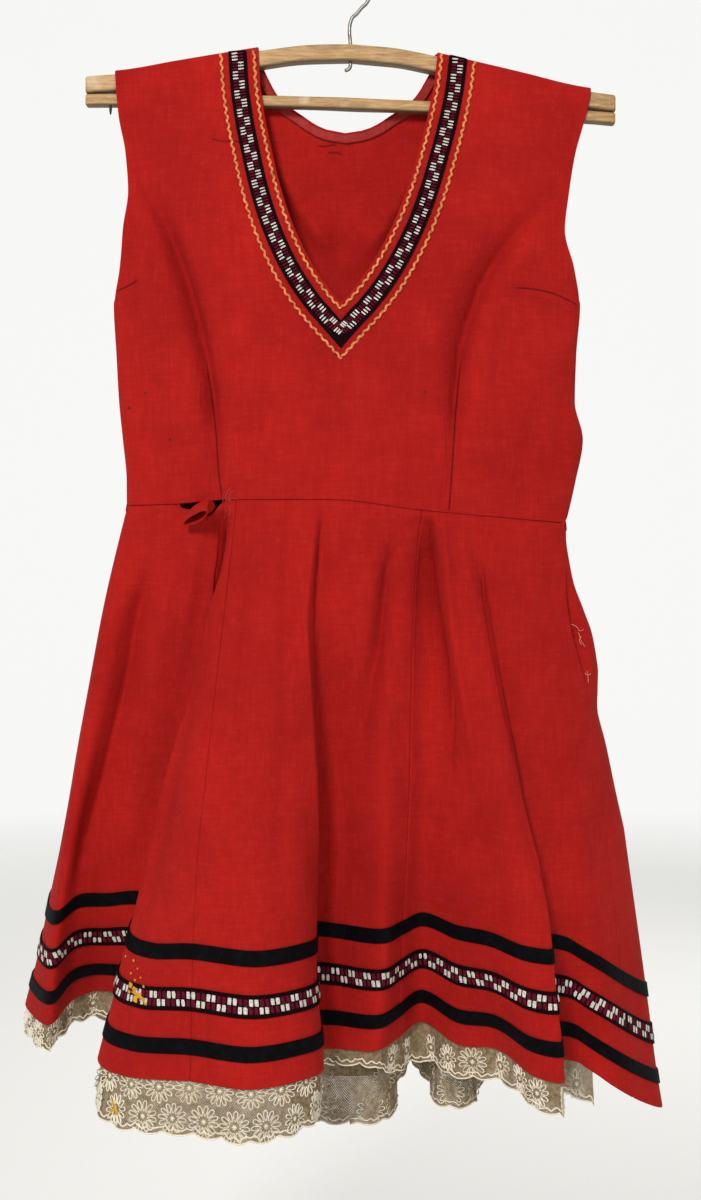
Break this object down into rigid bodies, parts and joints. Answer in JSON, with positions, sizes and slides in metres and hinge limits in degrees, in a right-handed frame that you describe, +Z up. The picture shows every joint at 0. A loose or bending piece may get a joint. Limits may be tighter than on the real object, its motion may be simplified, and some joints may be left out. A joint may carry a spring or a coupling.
{
  "type": "folk wool pinafore dress on a wooden hanger",
  "caption": "Sleeveless V-neck folk dress in red wool with woven braid, black ribbon bands, gold ric-rac and a lace hem, hanging in folds on a wooden bow hanger.",
  "frame": {"origin": "inner top of the hanger's hook, where a rail or nail carries it", "axes": "+Z up along the hanging dress, +X to the right as its front is looked at, +Y from its front to its back"},
  "size_m": [0.5694, 0.2886, 0.9952],
  "materials": {
    "wool": "plain red wool cloth with a short matt nap",
    "facing": "lighter red cotton strip inside the back neck",
    "ribbon": "black ribbon with a faint sheen",
    "braid": "woven braid in black, maroon and white blocks",
    "ricrac": "gold coloured zigzag tape",
    "lace": "cream embroidery on a taupe net with a corded scalloped edge",
    "wood": "old worn beech, knotty and split at the ends",
    "steel": "dull steel wire"
  },
  "bodies": {
    "root": {"hanger_arch": "wood", "hanger_bar": "wood", "hanger_hook": "steel", "bodice_front": "wool", "bodice_back": "wool", "back_neck_facing": "facing", "neck_braid": "braid", "neck_ricrac_inner": "ricrac", "neck_ricrac_outer": "ricrac", "skirt_front_left": "wool", "skirt_front_centre": "wool", "skirt_front_right": "wool", "skirt_back_left": "wool", "skirt_back_centre": "wool", "skirt_back_right": "wool", "torn_pleat": "wool", "band_upper_front": "ribbon", "band_upper_back": "ribbon", "braid_hem_front": "braid", "braid_hem_back": "braid", "band_lower_front": "ribbon", "band_lower_back": "ribbon", "lace_front_left": "lace", "lace_front_right": "lace", "lace_back_left": "lace", "lace_back_right": "lace"}
  },
  "joints": []
}
